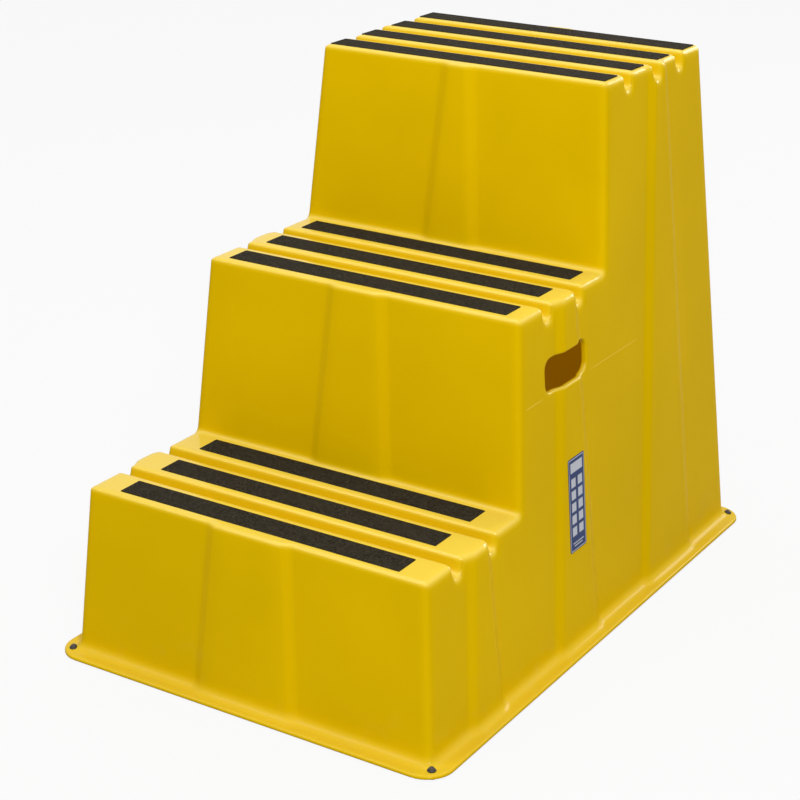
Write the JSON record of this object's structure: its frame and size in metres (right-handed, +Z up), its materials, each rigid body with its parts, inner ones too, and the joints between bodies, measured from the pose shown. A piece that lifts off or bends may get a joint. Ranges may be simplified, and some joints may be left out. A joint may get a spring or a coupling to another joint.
{
  "type": "mounting block",
  "caption": "Free-standing hollow plastic mounting block: wide grooved treads with grip strips, ribbed leaning walls, a hand slot in each side and rubber feet under a base flange.",
  "frame": {"origin": "on the ground under the middle of the base flange", "axes": "+Z up; the rider climbs towards +Y, so the risers face -Y; X runs across the block, and the label is on the +X wall"},
  "size_m": [0.564, 0.8572, 0.6949],
  "materials": {
    "yellow_plastic": "satin moulded polyethylene, safety yellow",
    "grip_tape": "mineral grit on adhesive tape, charcoal",
    "black_rubber": "smooth black rubber",
    "label_film": "printed navy film, no lettering"
  },
  "bodies": {
    "root": {"moulded_shell": "yellow_plastic", "low_strip_front": "grip_tape", "low_strip_centre": "grip_tape", "low_strip_rear": "grip_tape", "mid_strip_front": "grip_tape", "mid_strip_centre": "grip_tape", "mid_strip_rear": "grip_tape", "top_strip_front": "grip_tape", "top_strip_second": "grip_tape", "top_strip_third": "grip_tape", "top_strip_rear": "grip_tape", "foot_front_left": "black_rubber", "foot_front_right": "black_rubber", "foot_back_left": "black_rubber", "foot_back_right": "black_rubber", "side_label": "label_film"}
  },
  "joints": []
}
